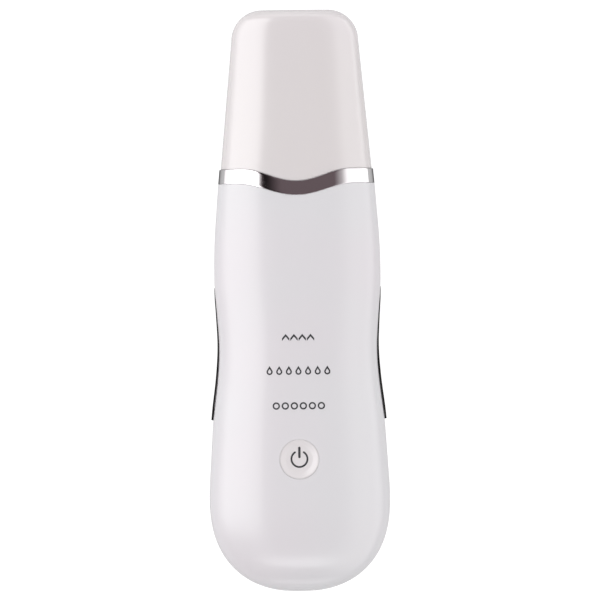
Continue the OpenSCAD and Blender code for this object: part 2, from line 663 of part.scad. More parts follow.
// A brass stud through the rear shell's wall, bored at its inner end for the lead
stud_r = 0.9;
stud_len = 3.6;
module strip_stud() translate([body_half(stud_y, 0) - stud_len - 0.15, stud_y, stud_z]) rotate([0, 90, 0])
    difference() {
        cylinder(r = stud_r, h = stud_len);
        translate([0, 0, -1]) cylinder(r = lead_r, h = 2.5);
    }
module right_electrode_strip() color(dark_chrome) right_strip();
module left_electrode_strip() color(dark_chrome) mirror([1, 0, 0]) right_strip();
module right_strip_contact() color(brass) strip_stud();
module left_strip_contact() color(brass) mirror([1, 0, 0]) strip_stud();

// ---------- leads ----------

strip_route = [[20.0, -16, 9.8], [18.6, -15.2, 9.6], [17.2, -13, 10.6], [16, -11.5, 12.4],
    [15.4, -11, 13.75]];
cell_route_red = [[-7.5, -16.4, 6.2], [-8.6, -14.7, 6.6], [-10.2, -14.9, 8.2], [-11.4, -17.2, 10.3],
    [-11.6, -20.4, 11.3], [-11.6, -18.7, 12.1]];
cell_route_black = [[-10.2, -16.4, 6.2], [-11.2, -14.7, 6.6], [-12.6, -14.9, 8.2], [-13.3, -17.2, 10.3],
    [-13.4, -20.4, 11.3], [-13.4, -18.7, 12.1]];
front_disc_route = [[3, 22, 13.5], [4, 18.6, 15], [4.2, 14, 15.9], [4.4, 9.4, 16.2], [4.6, 6.6, 16],
    [4.8, 5.4, 15.2]];
rear_disc_route = [[-2, 21, 8.5], [-2.2, 18, 8.1], [-2.2, 13, 8.2], [-2.6, 8.6, 9.4], [-3.8, 6.4, 11.6],
    [-4.2, 5.6, 13.75]];
lead_r = 0.4;
lean_across = [1, 0.1, 0.1];
lean_along = [0.1, 1, 0.2];

module battery_lead_red() color(red) wire(cell_route_red, lead_r, lean_across);
module battery_lead_black() color(black) wire(cell_route_black, lead_r, lean_across);
module piezo_lead_red() color(red) wire(front_disc_route, lead_r, lean_across);
module piezo_lead_white() color(white) wire(rear_disc_route, lead_r, lean_across);
module right_strip_lead() color(yellow) wire(strip_route, lead_r, lean_along);
module left_strip_lead() color(yellow) mirror([1, 0, 0]) wire(strip_route, lead_r, lean_along);

front_shell();
rear_shell();
chrome_band();
protective_cap();
nose_plug();
rating_label();
left_electrode_strip();
right_electrode_strip();
left_strip_contact();
right_strip_contact();
shell_screws();
power_button();
switch_body();
switch_plunger();
spatula_blade();
front_piezo_disc();
rear_piezo_disc();
blade_seal();
blade_clamp();
clamp_screws();
front_damping_pad();
rear_damping_pad();
circuit_board();
board_screws();
mode_leds();
light_shroud();
microcontroller();
charger_chip();
power_transistors();
transformer_core();
transformer_winding();
electrolytic_capacitor();
chip_resistors();
charging_socket();
socket_tongue();
battery_cell();
battery_tape();
battery_socket();
battery_plug();
battery_lead_red();
battery_lead_black();
piezo_lead_red();
piezo_lead_white();
left_strip_lead();
right_strip_lead();
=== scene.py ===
"""Handheld ultrasonic skin scrubber, lying on its back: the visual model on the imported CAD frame.

Sizes are in millimetres until a mesh is made. X runs across the body, Y along it towards the blade,
and Z up out of the front face, as in the CAD."""

import json
import math
import bmesh
import bpy
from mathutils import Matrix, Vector


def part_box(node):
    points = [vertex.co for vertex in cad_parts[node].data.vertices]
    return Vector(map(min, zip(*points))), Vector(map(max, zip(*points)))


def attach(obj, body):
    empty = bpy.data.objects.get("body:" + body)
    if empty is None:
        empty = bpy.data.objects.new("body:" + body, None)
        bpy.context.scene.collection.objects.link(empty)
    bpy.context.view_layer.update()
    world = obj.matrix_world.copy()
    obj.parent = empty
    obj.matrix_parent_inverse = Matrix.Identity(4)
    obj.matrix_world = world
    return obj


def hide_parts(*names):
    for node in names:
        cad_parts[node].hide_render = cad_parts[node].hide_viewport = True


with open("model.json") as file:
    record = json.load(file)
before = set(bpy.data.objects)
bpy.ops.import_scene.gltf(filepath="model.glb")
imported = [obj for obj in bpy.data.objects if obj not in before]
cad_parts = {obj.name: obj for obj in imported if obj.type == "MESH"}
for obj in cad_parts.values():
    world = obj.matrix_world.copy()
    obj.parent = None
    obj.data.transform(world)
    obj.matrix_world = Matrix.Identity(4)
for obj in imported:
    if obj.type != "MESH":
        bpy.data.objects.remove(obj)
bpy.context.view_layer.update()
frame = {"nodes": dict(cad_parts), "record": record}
MM = 0.001


def cad_box(node):
    """The lowest and highest corner of a CAD node, in millimetres."""
    low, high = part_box(node)
    return low / MM, high / MM


def cad_centre(node):
    low, high = cad_box(node)
    return (low + high) / 2


# ---------- driving sizes ----------

SHELL_LOW, SHELL_HIGH = cad_box("front_shell")
BAND_HIGH = cad_box("chrome_band")[1]
CAP_HIGH = cad_box("protective_cap")[1]
BLADE_LOW, BLADE_HIGH = cad_box("spatula_blade")
BUTTON_LOW, BUTTON_HIGH = cad_box("power_button")

PART_Z = SHELL_LOW.z               # the joint line between the shells
HALF_LENGTH = CAP_HIGH.y
HIP_HALF = SHELL_HIGH.x
FRONT_TAIL = SHELL_HIGH.z - PART_Z
WALL = 2.0
WAVE_DIP = 3.6                     # the band's wave
WAVE_HALF = (18.2, 16.4)           # half its width, at the band's lower and upper edge
BAND_CLEAR = 0.04                  # the gap beside the band in the CAD
BAND_WIDTH = 4.3
BAND_TOP = BAND_HIGH.y + BAND_CLEAR
BAND_Y = BAND_TOP - BAND_WIDTH
NECK_END = SHELL_HIGH.y
TAIL_Y = -59.0                     # the round tail begins here
TAIL_LENGTH = HALF_LENGTH + TAIL_Y
TAIL_POWER = 2.33
SECTION_POWER = 2.8
SPIGOT_INSET = 1.7                 # how far the seat of the band lies inside the body's surface
NECK_INSET = 2.45                  # and the neck that the cap goes over
INNER_SPIGOT_INSET = 3.3
INNER_NECK_INSET = 4.1

# The body's half-width, and its height and depth from the joint line, as (y, size)
WIDTH_STATIONS = [(TAIL_Y, HIP_HALF), (-48, 26.45), (-33.5, 25.45), (-22.6, 24.2), (-13.5, 23.7),
                  (-4.5, 24.15), (5, 24.85), (17, 24.7), (28, 23.95), (BAND_Y, 23.4), (50, 22), (60, 21)]
FRONT_STATIONS = [(TAIL_Y, FRONT_TAIL), (-25, 11.5), (5, 10.7), (BAND_Y, 9.3), (50, 8.6), (60, 8.1)]
BACK_STATIONS = [(TAIL_Y, 13.4), (-25, 13.1), (5, 12.4), (BAND_Y, 9.3), (50, 8.6), (60, 8.1)]

JOINT_FILLET = 0.22                # rounding of the shells' edges along the joint line
EDGE_FILLET = 0.2                  # rounding of the edges beside the band
NECK_FILLET = 0.4                  # rounding of the neck's end
REST_SINK = 0.02                   # the soft bend into the flat back aims this far below it


# ---------- the body's surface ----------

def station_slope(stations, i):
    if i == 0:
        return 0.0
    before, after = stations[i - 1], stations[min(i + 1, len(stations) - 1)]
    return (after[1] - before[1]) / (after[0] - before[0])


def along(stations, y):
    """A smooth curve through stations (y, value), level at the first."""
    if y <= stations[0][0]:
        return stations[0][1]
    i = 0
    while i < len(stations) - 2 and y > stations[i + 1][0]:
        i += 1
    span = stations[i + 1][0] - stations[i][0]
    t = (y - stations[i][0]) / span
    start, end = station_slope(stations, i) * span, station_slope(stations, i + 1) * span
    return (stations[i][1] * (1 + 2 * t) * (1 - t) ** 2 + start * t * (1 - t) ** 2
            + stations[i + 1][1] * t * t * (3 - 2 * t) - end * t * t * (1 - t))


def clamp01(t):
    return min(1.0, max(0.0, t))


def ease(t):
    t = clamp01(t)
    return t * t * (3 - 2 * t)


def mix(a, b, t):
    return a + (b - a) * t


def superellipse(t, power):
    """Height of a unit superellipse at t from its middle."""
    return max(0.0, 1 - clamp01(abs(t)) ** power) ** (1 / power)


def tail_share(y, inset):
    return 1.0 if y >= TAIL_Y else superellipse((TAIL_Y - y) / (TAIL_LENGTH - inset), TAIL_POWER)


def body_half(y, inset=0.0):
    return (along(WIDTH_STATIONS, y) - inset) * tail_share(y, inset)


def body_rise(y, inset=0.0):
    return (along(FRONT_STATIONS, y) - inset) * tail_share(y, inset)


def body_drop(y, inset=0.0):
    return (along(BACK_STATIONS, y) - inset) * tail_share(y, inset)


def wave(x, y):
    """How far a line across the body at y bends down towards the tail."""
    half = mix(*WAVE_HALF, clamp01((y - BAND_Y) / (BAND_TOP - BAND_Y)))
    return WAVE_DIP * (1 + math.cos(math.pi * x / half)) / 2 if abs(x) < half else 0.0


def soft_floor(z, floor, softness=0.45):
    """z, but never under the floor, with a soft bend where it would pass through it."""
    d = z - floor
    return floor + (d + math.sqrt(d * d + softness * softness)) / 2


def front_height(x, y, inset=0.0):
    """Height of the front face over a point of the plan."""
    return PART_Z + body_rise(y, inset) * superellipse(x / body_half(y, inset), SECTION_POWER)


def face_reach(side, y, inset=0.0):
    """How far the front (side 1) or the back (side -1) lies from the joint line."""
    return body_rise(y, inset) if side > 0 else body_drop(y, inset)


def side_reach(y, z):
    """Half-width of the body at a height z above the joint line."""
    reach = face_reach(1 if z >= 0 else -1, y)
    return body_half(y) * superellipse(z / reach, SECTION_POWER)


def quarter(steps):
    """Angles from 0 to a right angle."""
    return [math.pi / 2 * i / steps for i in range(steps + 1)]


def round_rectangle(low, high, radius, steps):
    """Points round a rectangle with round corners, from its corner low (x, y) to its corner high."""
    points = []
    for i, (right, back) in enumerate(((1, 1), (0, 1), (0, 0), (1, 0))):
        x = high[0] - radius if right else low[0] + radius
        y = high[1] - radius if back else low[1] + radius
        for turn in quarter(steps):
            angle = math.pi / 2 * i + turn
            points.append((x + radius * math.cos(angle), y + radius * math.sin(angle)))
    return points


def full_section(steps):
    """Points right round a section, as (across, up)."""
    power = 2 / SECTION_POWER
    points = []
    for i in range(steps):
        angle = math.tau * i / steps
        c, s = math.cos(angle), math.sin(angle)
        points.append((math.copysign(abs(c) ** power, c), math.copysign(abs(s) ** power, s)))
    return points


def body_ring(y, inset, section, share=0.0):
    """A ring right round the body; share is how much of the wave it follows."""
    ring = []
    for across, up in section:
        x = body_half(y, inset) * across
        ring.append((x, y - share * wave(x, y), PART_Z + face_reach(up, y, inset) * up))
    return ring


# ---------- meshes ----------

def tidy_mesh(mesh, sharp_degrees=38):
    """Merges doubled points, points the normals outwards, and marks the edges that stay sharp."""
    work = bmesh.new()
    work.from_mesh(mesh)
    bmesh.ops.remove_doubles(work, verts=work.verts, dist=2e-7)
    bmesh.ops.dissolve_degenerate(work, edges=work.edges, dist=1e-8)
    bmesh.ops.recalc_face_normals(work, faces=work.faces)
    for face in work.faces:
        face.smooth = True
    for edge in work.edges:
        edge.smooth = len(edge.link_faces) == 2 and edge.calc_face_angle(0) < math.radians(sharp_degrees)
    work.to_mesh(mesh)
    work.free()
    mesh.update()


def make_object(name, points, faces):
    mesh = bpy.data.meshes.new(name)
    mesh.from_pydata([Vector(p) * MM for p in points], [], faces)
    mesh.validate()
    tidy_mesh(mesh)
    made = bpy.data.objects.new(name, mesh)
    bpy.context.scene.collection.objects.link(made)
    return made


def apply_modifiers(piece):
    """Replaces the piece's mesh with the result of its modifiers."""
    bpy.context.view_layer.update()
    result = bpy.data.meshes.new_from_object(piece.evaluated_get(bpy.context.evaluated_depsgraph_get()))
    piece.modifiers.clear()
    old = piece.data
    piece.data = result
    bpy.data.meshes.remove(old)


def cut(piece, *tools):
    """Cuts the tools out of the piece and removes them."""
    for tool in tools:
        boolean = piece.modifiers.new("cut", "BOOLEAN")
        boolean.operation = "DIFFERENCE"
        boolean.solver = "EXACT"
        boolean.object = tool
    apply_modifiers(piece)
    for tool in tools:
        bpy.data.objects.remove(tool)
    tidy_mesh(piece.data)


def finish_piece(piece, material, body, replaced=()):
    """Gives a piece its material and its body, and hides the CAD nodes that it replaces."""
    piece.data.materials.clear()
    piece.data.materials.append(material)
    normals = piece.modifiers.new("normals", "WEIGHTED_NORMAL")
    normals.keep_sharp = True
    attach(piece, body)
    if replaced:
        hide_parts(*replaced)


def grid_faces(first, rows, columns, wrap=False):
    """Quads over a grid of points stored row by row."""
    faces = []
    for r in range(rows - 1):
        for c in range(columns if wrap else columns - 1):
            a, b = first + r * columns + c, first + r * columns + (c + 1) % columns
            faces.append((a, b, b + columns, a + columns))
    return faces


def loft(name, rings, closed=False):
    """A solid through rings of points; closed joins the last ring to the first."""
    count = len(rings[0])
    points = [p for ring in rings for p in ring]
    faces = grid_faces(0, len(rings), count, wrap=True)
    last = (len(rings) - 1) * count
    if closed:
        faces += [(last + c, last + (c + 1) % count, (c + 1) % count, c) for c in range(count)]
    else:
        faces += [tuple(range(count)), tuple(last + c for c in range(count))]
    return make_object(name, points, faces)


def lathe(name, profile, centre, steps=96):
    """Turns a profile of (radius, z), both ends of it on the axis, about a vertical axis."""
    rings = []
    for radius, z in profile:
        radius = max(radius, 1e-4)
        rings.append([(centre[0] + radius * math.cos(math.tau * i / steps),
                       centre[1] + radius * math.sin(math.tau * i / steps), z) for i in range(steps)])
    return loft(name, rings)


def upright(name, outline, bottom, top):
    """A solid with upright sides over an outline, used only to cut with."""
    return loft(name, [[(x, y, z) for x, y in outline] for z in (bottom, top)])


def block(name, low, high):
    """A plain box, used only to cut with."""
    outline = [(low[0], low[1]), (high[0], low[1]), (high[0], high[1]), (low[0], high[1])]
    return upright(name, outline, low[2], high[2])


# ---------- materials ----------

MATERIALS = {}


def new_material(name):
    """Keeps a new material under its name, and gives its node tree and its shader."""
    material = bpy.data.materials.new(name)
    material.use_nodes = True
    MATERIALS[name] = material
    return material.node_tree, material.node_tree.nodes["Principled BSDF"]


def feed(tree, socket, value):
    """Links an output to a socket, or sets the socket to a plain value."""
    if isinstance(value, bpy.types.NodeSocket):
        tree.links.new(value, socket)
    else:
        socket.default_value = value


def add_node(tree, kind, settings=None, **inputs):
    """A node with its settings; an input's name is written with _ for a space."""
    made = tree.nodes.new(kind)
    for key, value in (settings or {}).items():
        setattr(made, key, value)
    for key, value in inputs.items():
        feed(tree, made.inputs[key.replace("_", " ")], value)
    return made


def grain(tree, per_mm, stretch=(1, 1, 1), detail=2.0, roughness=0.5):
    """Noise with about per_mm features to a millimetre, in the frame's coordinates."""
    place = add_node(tree, "ShaderNodeTexCoord").outputs["Object"]
    mapped = add_node(tree, "ShaderNodeMapping", Vector=place, Scale=stretch)
    return add_node(tree, "ShaderNodeTexNoise", Vector=mapped.outputs[0], Scale=per_mm / MM, Detail=detail,
                    Roughness=roughness).outputs[0]


def ramp(tree, factor, low, high, start=0.35, end=0.65):
    """A number between low and high as factor goes from start to end."""
    return add_node(tree, "ShaderNodeMapRange", {"interpolation_type": "SMOOTHSTEP"}, Value=factor,
                    From_Min=start, From_Max=end, To_Min=low, To_Max=high).outputs[0]


def blend_colours(tree, factor, first, second):
    """The first colour where factor is 0, and the second where it is 1."""
    made = tree.nodes.new("ShaderNodeMix")
    made.data_type = "RGBA"
    tree.links.new(factor, made.inputs["Factor"])
    made.inputs[6].default_value = (*first, 1)
    made.inputs[7].default_value = (*second, 1)
    return made.outputs[2]


def bump(tree, shader, height, depth_mm):
    made = add_node(tree, "ShaderNodeBump", Height=height, Strength=1.0, Distance=depth_mm * MM)
    tree.links.new(made.outputs[0], shader.inputs["Normal"])


def gloss_plastic(name, colour, tint, rough=0.3, coat=0.5):
    """Moulded plastic: a faint cloudy tint, a slightly uneven gloss, and a trace of orange peel."""
    tree, shader = new_material(name)
    cloud = ramp(tree, grain(tree, 0.022, detail=1.0), 0, 1, 0.3, 0.7)
    tree.links.new(blend_colours(tree, cloud, colour, tint), shader.inputs["Base Color"])
    uneven = ramp(tree, grain(tree, 0.08), rough * 0.95, rough * 1.05, 0, 1)
    tree.links.new(uneven, shader.inputs["Roughness"])
    bump(tree, shader, grain(tree, 0.5, detail=1.0), 0.0008)
    shader.inputs["Coat Weight"].default_value = coat
    shader.inputs["Coat Roughness"].default_value = 0.1
    shader.inputs["IOR"].default_value = 1.6


EDGE_TINT = (0.12, 0.115, 0.12)        # how much plating keeps of its shine near the edge of view


def plated_metal(name, colour, rough=0.04):
    """Bright plating: mirror smooth, with a faint unevenness of the plastic under it."""
    tree, shader = new_material(name)
    shade = tuple(c * 0.94 for c in colour)
    tree.links.new(blend_colours(tree, grain(tree, 0.15), colour, shade), shader.inputs["Base Color"])
    tree.links.new(ramp(tree, grain(tree, 1.5), rough * 0.7, rough * 1.5), shader.inputs["Roughness"])
    bump(tree, shader, grain(tree, 0.25, detail=0.5), 0.0004)
    shader.inputs["Metallic"].default_value = 1.0
    shader.inputs["Specular Tint"].default_value = (*EDGE_TINT, 1)


def brushed_metal(name, colour, rough=0.26, stretch=(14, 1, 14)):
    """Steel or brass, brushed along Y unless stretch is even."""
    tree, shader = new_material(name)
    lines = grain(tree, 0.5, stretch=stretch, detail=4.0, roughness=0.7)
    shade = tuple(c * 0.78 for c in colour)
    tree.links.new(blend_colours(tree, ramp(tree, lines, 0, 1, 0.25, 0.75), colour, shade),
                   shader.inputs["Base Color"])
    tree.links.new(ramp(tree, lines, rough * 0.75, rough * 1.3), shader.inputs["Roughness"])
    bump(tree, shader, lines, 0.003)
    shader.inputs["Metallic"].default_value = 1.0


def matte_material(name, colour, rough=0.6, fleck=0.12, per_mm=2.5, depth_mm=0.012, specular=0.4):
    """Textured plastic, rubber, ceramic or paper: a fine grain in colour, gloss and relief."""
    tree, shader = new_material(name)
    speck = grain(tree, per_mm, detail=3.0, roughness=0.65)
    lighter = tuple(min(1.0, c * (1 + fleck) + fleck * 0.03) for c in colour)
    darker = tuple(c * (1 - fleck) for c in colour)
    tree.links.new(blend_colours(tree, ramp(tree, speck, 0, 1), darker, lighter), shader.inputs["Base Color"])
    tree.links.new(ramp(tree, speck, rough * 0.9, min(1.0, rough * 1.12)), shader.inputs["Roughness"])
    bump(tree, shader, speck, depth_mm)
    shader.inputs["Specular IOR Level"].default_value = specular


def silicone(name, colour):
    """Soft, slightly translucent rubber."""
    tree, shader = new_material(name)
    cloud = grain(tree, 0.2, detail=2.0)
    shade = tuple(c * 0.92 for c in colour)
    tree.links.new(blend_colours(tree, cloud, colour, shade), shader.inputs["Base Color"])
    tree.links.new(ramp(tree, grain(tree, 2.0), 0.38, 0.52), shader.inputs["Roughness"])
    bump(tree, shader, grain(tree, 2.0), 0.004)
    shader.inputs["Subsurface Weight"].default_value = 0.35
    shader.inputs["Subsurface Radius"].default_value = (0.0012, 0.0011, 0.001)
    shader.inputs["Subsurface Scale"].default_value = 1.0


def board_laminate(name, colour):
    """Solder mask over fine tracks."""
    tree, shader = new_material(name)
    place = add_node(tree, "ShaderNodeTexCoord").outputs["Object"]
    tracks = add_node(tree, "ShaderNodeTexBrick", Vector=place, Scale=1 / MM, Mortar_Size=0.12,
                      Brick_Width=2.4, Row_Height=1.1).outputs["Fac"]
    track = tuple(c * 1.6 for c in colour)
    tree.links.new(blend_colours(tree, tracks, colour, track), shader.inputs["Base Color"])
    tree.links.new(ramp(tree, grain(tree, 1.5), 0.28, 0.4), shader.inputs["Roughness"])
    bump(tree, shader, tracks, 0.02)
    shader.inputs["Coat Weight"].default_value = 0.4


def wound_copper(name, colour):
    """Enamelled wire wound side by side round an upright bobbin."""
    tree, shader = new_material(name)
    place = add_node(tree, "ShaderNodeTexCoord").outputs["Object"]
    turns = add_node(tree, "ShaderNodeTexWave", {"bands_direction": "Z", "wave_profile": "SIN"}, Vector=place,
                     Scale=0.45 / MM, Distortion=0.6).outputs["Fac"]
    # the turns' colour runs from painted shade in the grooves between them to the full copper colour on their
    # crowns
    shade = tuple(c * 0.45 for c in colour)
    tree.links.new(blend_colours(tree, turns, shade, colour), shader.inputs["Base Color"])
    tree.links.new(ramp(tree, grain(tree, 1.0), 0.25, 0.4), shader.inputs["Roughness"])
    bump(tree, shader, turns, 0.1)
    shader.inputs["Metallic"].default_value = 0.7


def pouch_foil(name, colour):
    """Laminated foil with soft creases."""
    tree, shader = new_material(name)
    creases = grain(tree, 0.12, detail=3.0)
    shade = tuple(c * 0.85 for c in colour)
    tree.links.new(blend_colours(tree, creases, colour, shade), shader.inputs["Base Color"])
    tree.links.new(ramp(tree, grain(tree, 1.0), 0.3, 0.42), shader.inputs["Roughness"])
    bump(tree, shader, creases, 0.25)
    shader.inputs["Metallic"].default_value = 0.85


gloss_plastic("shell_plastic", (0.6, 0.585, 0.607), (0.59, 0.595, 0.61))
gloss_plastic("cap_plastic", (0.61, 0.585, 0.595), (0.60, 0.58, 0.58), rough=0.22, coat=1.0)
gloss_plastic("button_plastic", (0.615, 0.597, 0.602), (0.61, 0.595, 0.602), rough=0.34)
plated_metal("band_chrome", (0.86, 0.85, 0.86))
plated_metal("dark_chrome", (0.04, 0.038, 0.04), rough=0.12)
brushed_metal("blade_steel", (0.68, 0.69, 0.71))
brushed_metal("screw_steel", (0.55, 0.55, 0.57), rough=0.32, stretch=(3, 3, 3))
brushed_metal("socket_steel", (0.62, 0.63, 0.65), rough=0.3)
brushed_metal("contact_brass", (0.72, 0.52, 0.22), rough=0.3, stretch=(3, 3, 3))
pouch_foil("cell_pouch", (0.6, 0.61, 0.64))
wound_copper("copper_winding", (0.62, 0.28, 0.1))
board_laminate("board_laminate", (0.012, 0.11, 0.045))
silicone("seal_silicone", (0.72, 0.73, 0.75))
matte_material("label_film", (0.62, 0.62, 0.64), rough=0.4, fleck=0.03, per_mm=5, depth_mm=0.002)
matte_material("black_plastic", (0.018, 0.018, 0.02), rough=0.5)
matte_material("ivory_plastic", (0.72, 0.68, 0.56), rough=0.45, fleck=0.04)
matte_material("piezo_ceramic", (0.62, 0.6, 0.55), rough=0.35, fleck=0.1, per_mm=4)
matte_material("damping_rubber", (0.03, 0.03, 0.032), rough=0.8, per_mm=3, depth_mm=0.03)
matte_material("led_plastic", (0.85, 0.8, 0.5), rough=0.25, fleck=0.05)
matte_material("chip_plastic", (0.02, 0.02, 0.022), rough=0.55, per_mm=6)
matte_material("ferrite", (0.05, 0.05, 0.055), rough=0.5, fleck=0.3, per_mm=3, depth_mm=0.03)
matte_material("capacitor_sleeve", (0.02, 0.03, 0.12), rough=0.25, fleck=0.08)
matte_material("resistor_ceramic", (0.03, 0.028, 0.025), rough=0.4)
matte_material("foam_tape", (0.75, 0.75, 0.72), rough=0.9, fleck=0.1, per_mm=3, depth_mm=0.06)
matte_material("red_wire", (0.45, 0.015, 0.01), rough=0.35, fleck=0.06)
matte_material("black_wire", (0.012, 0.012, 0.012), rough=0.35, fleck=0.06)
matte_material("white_wire", (0.72, 0.72, 0.7), rough=0.35, fleck=0.03)
matte_material("yellow_wire", (0.6, 0.42, 0.02), rough=0.35, fleck=0.06)
matte_material("print_ink", (0.03, 0.03, 0.034), rough=0.45, fleck=0.1, per_mm=4, depth_mm=0.001)


# ---------- shells ----------

JOINT_HEIGHTS = [0, 0.02, 0.06, 0.12, 0.22, 0.5, 1.0]      # rows of points just off the joint line
SMALL_RISE = 6.0                   # lower sections than this have their joint rounding scaled down
ARC_STEPS = 56                     # from the joint line to the crown
RING_STEP = 1.25
TAIL_ANGLES = (88, 86.5, 85, 83, *range(80, 0, -3))        # rings round the tail, in degrees
NECK_ROWS = 8
WAVE_START = 20.0                  # the rings begin to bend towards the wave here


def arc_points(rise):
    """Points of a half-section from one side to the other, as (across, up, extra inset)."""
    scale = min(1.0, rise / SMALL_RISE)
    points = []
    for height in JOINT_HEIGHTS:
        up = height * scale / rise
        depth = JOINT_FILLET - height
        inset = JOINT_FILLET - math.sqrt(JOINT_FILLET ** 2 - depth ** 2) if depth > 0 else 0.0
        points.append((superellipse(up, SECTION_POWER), up, inset * scale))
    power = 2 / SECTION_POWER
    first = math.asin(points[-1][1] ** (1 / power))
    for i in range(1, ARC_STEPS + 1):
        angle = mix(first, math.pi / 2, i / ARC_STEPS)
        points.append((max(0.0, math.cos(angle)) ** power, math.sin(angle) ** power, 0.0))
    return points + [(-across, up, inset) for across, up, inset in points[-2::-1]]


def ring_y(tail, y, inset):
    """Where a ring lies: round the tail it is given by its angle, and moves in with the inset."""
    return TAIL_Y - (TAIL_LENGTH - inset) * math.sin(tail) if tail else y


def shell_point(station, inset, arc, side):
    """side is 1 for the front and -1 for the back."""
    tail, y, share = station
    across, up, extra = arc
    inset += extra
    y = ring_y(tail, y, inset)
    x = body_half(y, inset) * across
    z = PART_Z + side * face_reach(side, y, inset) * up
    if side < 0 and up > 0.5:
        z = soft_floor(z, inset - REST_SINK)
    return (x, y - share * wave(x, y), z)


def shell_stations():
    """((tail angle, y, share of the wave), outer inset, inner inset) from the tail to the neck's end."""
    stations = [((math.radians(a), 0, 0), 0, WALL) for a in TAIL_ANGLES]
    main_end = BAND_Y - EDGE_FILLET
    steps = round((main_end - TAIL_Y) / RING_STEP)
    for i in range(steps + 1):
        y = mix(TAIL_Y, main_end, i / steps)
        stations.append(((0, y, ease((y - WAVE_START) / (BAND_Y - WAVE_START))), 0, WALL))
    for a in quarter(5)[1:]:
        y = main_end + EDGE_FILLET * math.sin(a)
        stations.append(((0, y, 1), EDGE_FILLET * (1 - math.cos(a)), WALL))
    stations.append(((0, BAND_Y, 1), SPIGOT_INSET, INNER_SPIGOT_INSET))
    stations.append(((0, BAND_TOP, 1), SPIGOT_INSET, INNER_SPIGOT_INSET))
    stations.append(((0, BAND_TOP, 1), NECK_INSET, INNER_NECK_INSET))
    straight_end = NECK_END - NECK_FILLET
    for i in range(1, NECK_ROWS + 1):
        y = mix(BAND_TOP, straight_end, i / NECK_ROWS)
        stations.append(((0, y, 1 - ease(i / NECK_ROWS)), NECK_INSET, INNER_NECK_INSET))
    for a in quarter(4)[1:]:
        y = straight_end + NECK_FILLET * math.sin(a)
        stations.append(((0, y, 0), NECK_INSET + NECK_FILLET * (1 - math.cos(a)), INNER_NECK_INSET))
    return stations


BUTTON_X, BUTTON_Y = cad_centre("power_button").xy
BUTTON_HOLE = 5.93
HOLE_FILLET = 0.06
PATCH_COLUMNS = 10                 # cells of the shell's grid on each side of the button's middle
PATCH_ROWS = 8


def button_hole(points, columns, middle_row, outer_first, inner_first):
    """Faces from the shell's grid to the round button hole, through it, and on to the inner grid."""
    middle = (columns - 1) // 2
    rows = range(middle_row - PATCH_ROWS, middle_row + PATCH_ROWS + 1)
    cols = range(middle - PATCH_COLUMNS, middle + PATCH_COLUMNS + 1)
    rim = ([(rows[0], c) for c in cols[:-1]] + [(r, cols[-1]) for r in rows[:-1]]
           + [(rows[-1], c) for c in cols[:0:-1]] + [(r, cols[0]) for r in rows[:0:-1]])
    outer = [outer_first + r * columns + c for r, c in rim]
    inner = [inner_first + r * columns + c for r, c in rim]
    directions = []
    for index in outer:
        dx, dy = points[index][0] - BUTTON_X, points[index][1] - BUTTON_Y
        length = math.hypot(dx, dy)
        directions.append((dx / length, dy / length, length))
    loops = [outer]

    def add_loop(make):
        loops.append(list(range(len(points), len(points) + len(directions))))
        points.extend([make(*d) for d in directions])

    def at_radius(dx, dy, radius, inset=0.0, lower=0.0):
        x, y = BUTTON_X + dx * radius, BUTTON_Y + dy * radius
        return (x, y, front_height(x, y, inset) - lower)

    lip = BUTTON_HOLE + HOLE_FILLET
    for t in (0.25, 0.5, 0.75, 1):
        add_loop(lambda dx, dy, length: at_radius(dx, dy, mix(length, lip, t)))
    for a in quarter(5)[1:]:
        radius, lower = lip - HOLE_FILLET * math.sin(a), HOLE_FILLET * (1 - math.cos(a))
        add_loop(lambda dx, dy, _: at_radius(dx, dy, radius, 0, lower))
    add_loop(lambda dx, dy, _: at_radius(dx, dy, BUTTON_HOLE, WALL))
    add_loop(lambda dx, dy, length: at_radius(dx, dy, mix(BUTTON_HOLE, length - 1, 0.5), WALL))
    loops.append(inner)
    faces = []
    for a, b in zip(loops, loops[1:]):
        faces += [(a[i], a[(i + 1) % len(a)], b[(i + 1) % len(b)], b[i]) for i in range(len(a))]
    covered = {(r, c) for r in rows[:-1] for c in cols[:-1]}
    return faces, covered


def half_shell(name, side):
    """One shell: its outer and inner skins, joined along the joint line, at the tail and at the neck."""
    stations = shell_stations()
    points, skins = [], []
    for skin in (1, 2):
        skins.append(len(points))
        for station in stations:
            place, inset = station[0], station[skin]
            arcs = arc_points(face_reach(side, ring_y(place[0], place[1], inset), inset))
            for across, up, extra in arcs:
                arc = (across, up, extra if skin == 1 else 0)
                points.append(shell_point(place, inset, arc, side))
    rows, columns = len(stations), len(arcs)
    outer_first, inner_first = skins
    covered, faces = set(), []
    if side > 0:
        middle_row = min(range(rows), key=lambda r: abs(points[r * columns][1] - BUTTON_Y))
        faces, covered = button_hole(points, columns, middle_row, outer_first, inner_first)
    for first in skins:
        for r in range(rows - 1):
            for c in range(columns - 1):
                if (r, c) not in covered:
                    a = first + r * columns + c
                    faces.append((a, a + 1, a + 1 + columns, a + columns))
    for c in (0, columns - 1):
        for r in range(rows - 1):
            a, b = outer_first + r * columns + c, inner_first + r * columns + c
            faces.append((a, a + columns, b + columns, b))
    for r in (0, rows - 1):
        for c in range(columns - 1):
            a, b = outer_first + r * columns + c, inner_first + r * columns + c
            faces.append((a, a + 1, b + 1, b))
    return make_object(name, points, faces)


def port_cutter():
    """The opening in the tail for the charging plug."""
    low, high = cad_box("charging_socket")
    side_gap, gap = 0.45, 0.2
    outside, inside = -HALF_LENGTH - 2, -HALF_LENGTH + 5
    return block("port_cutter", (low.x - side_gap, outside, low.z - gap),
                 (high.x + side_gap, inside, high.z + gap))


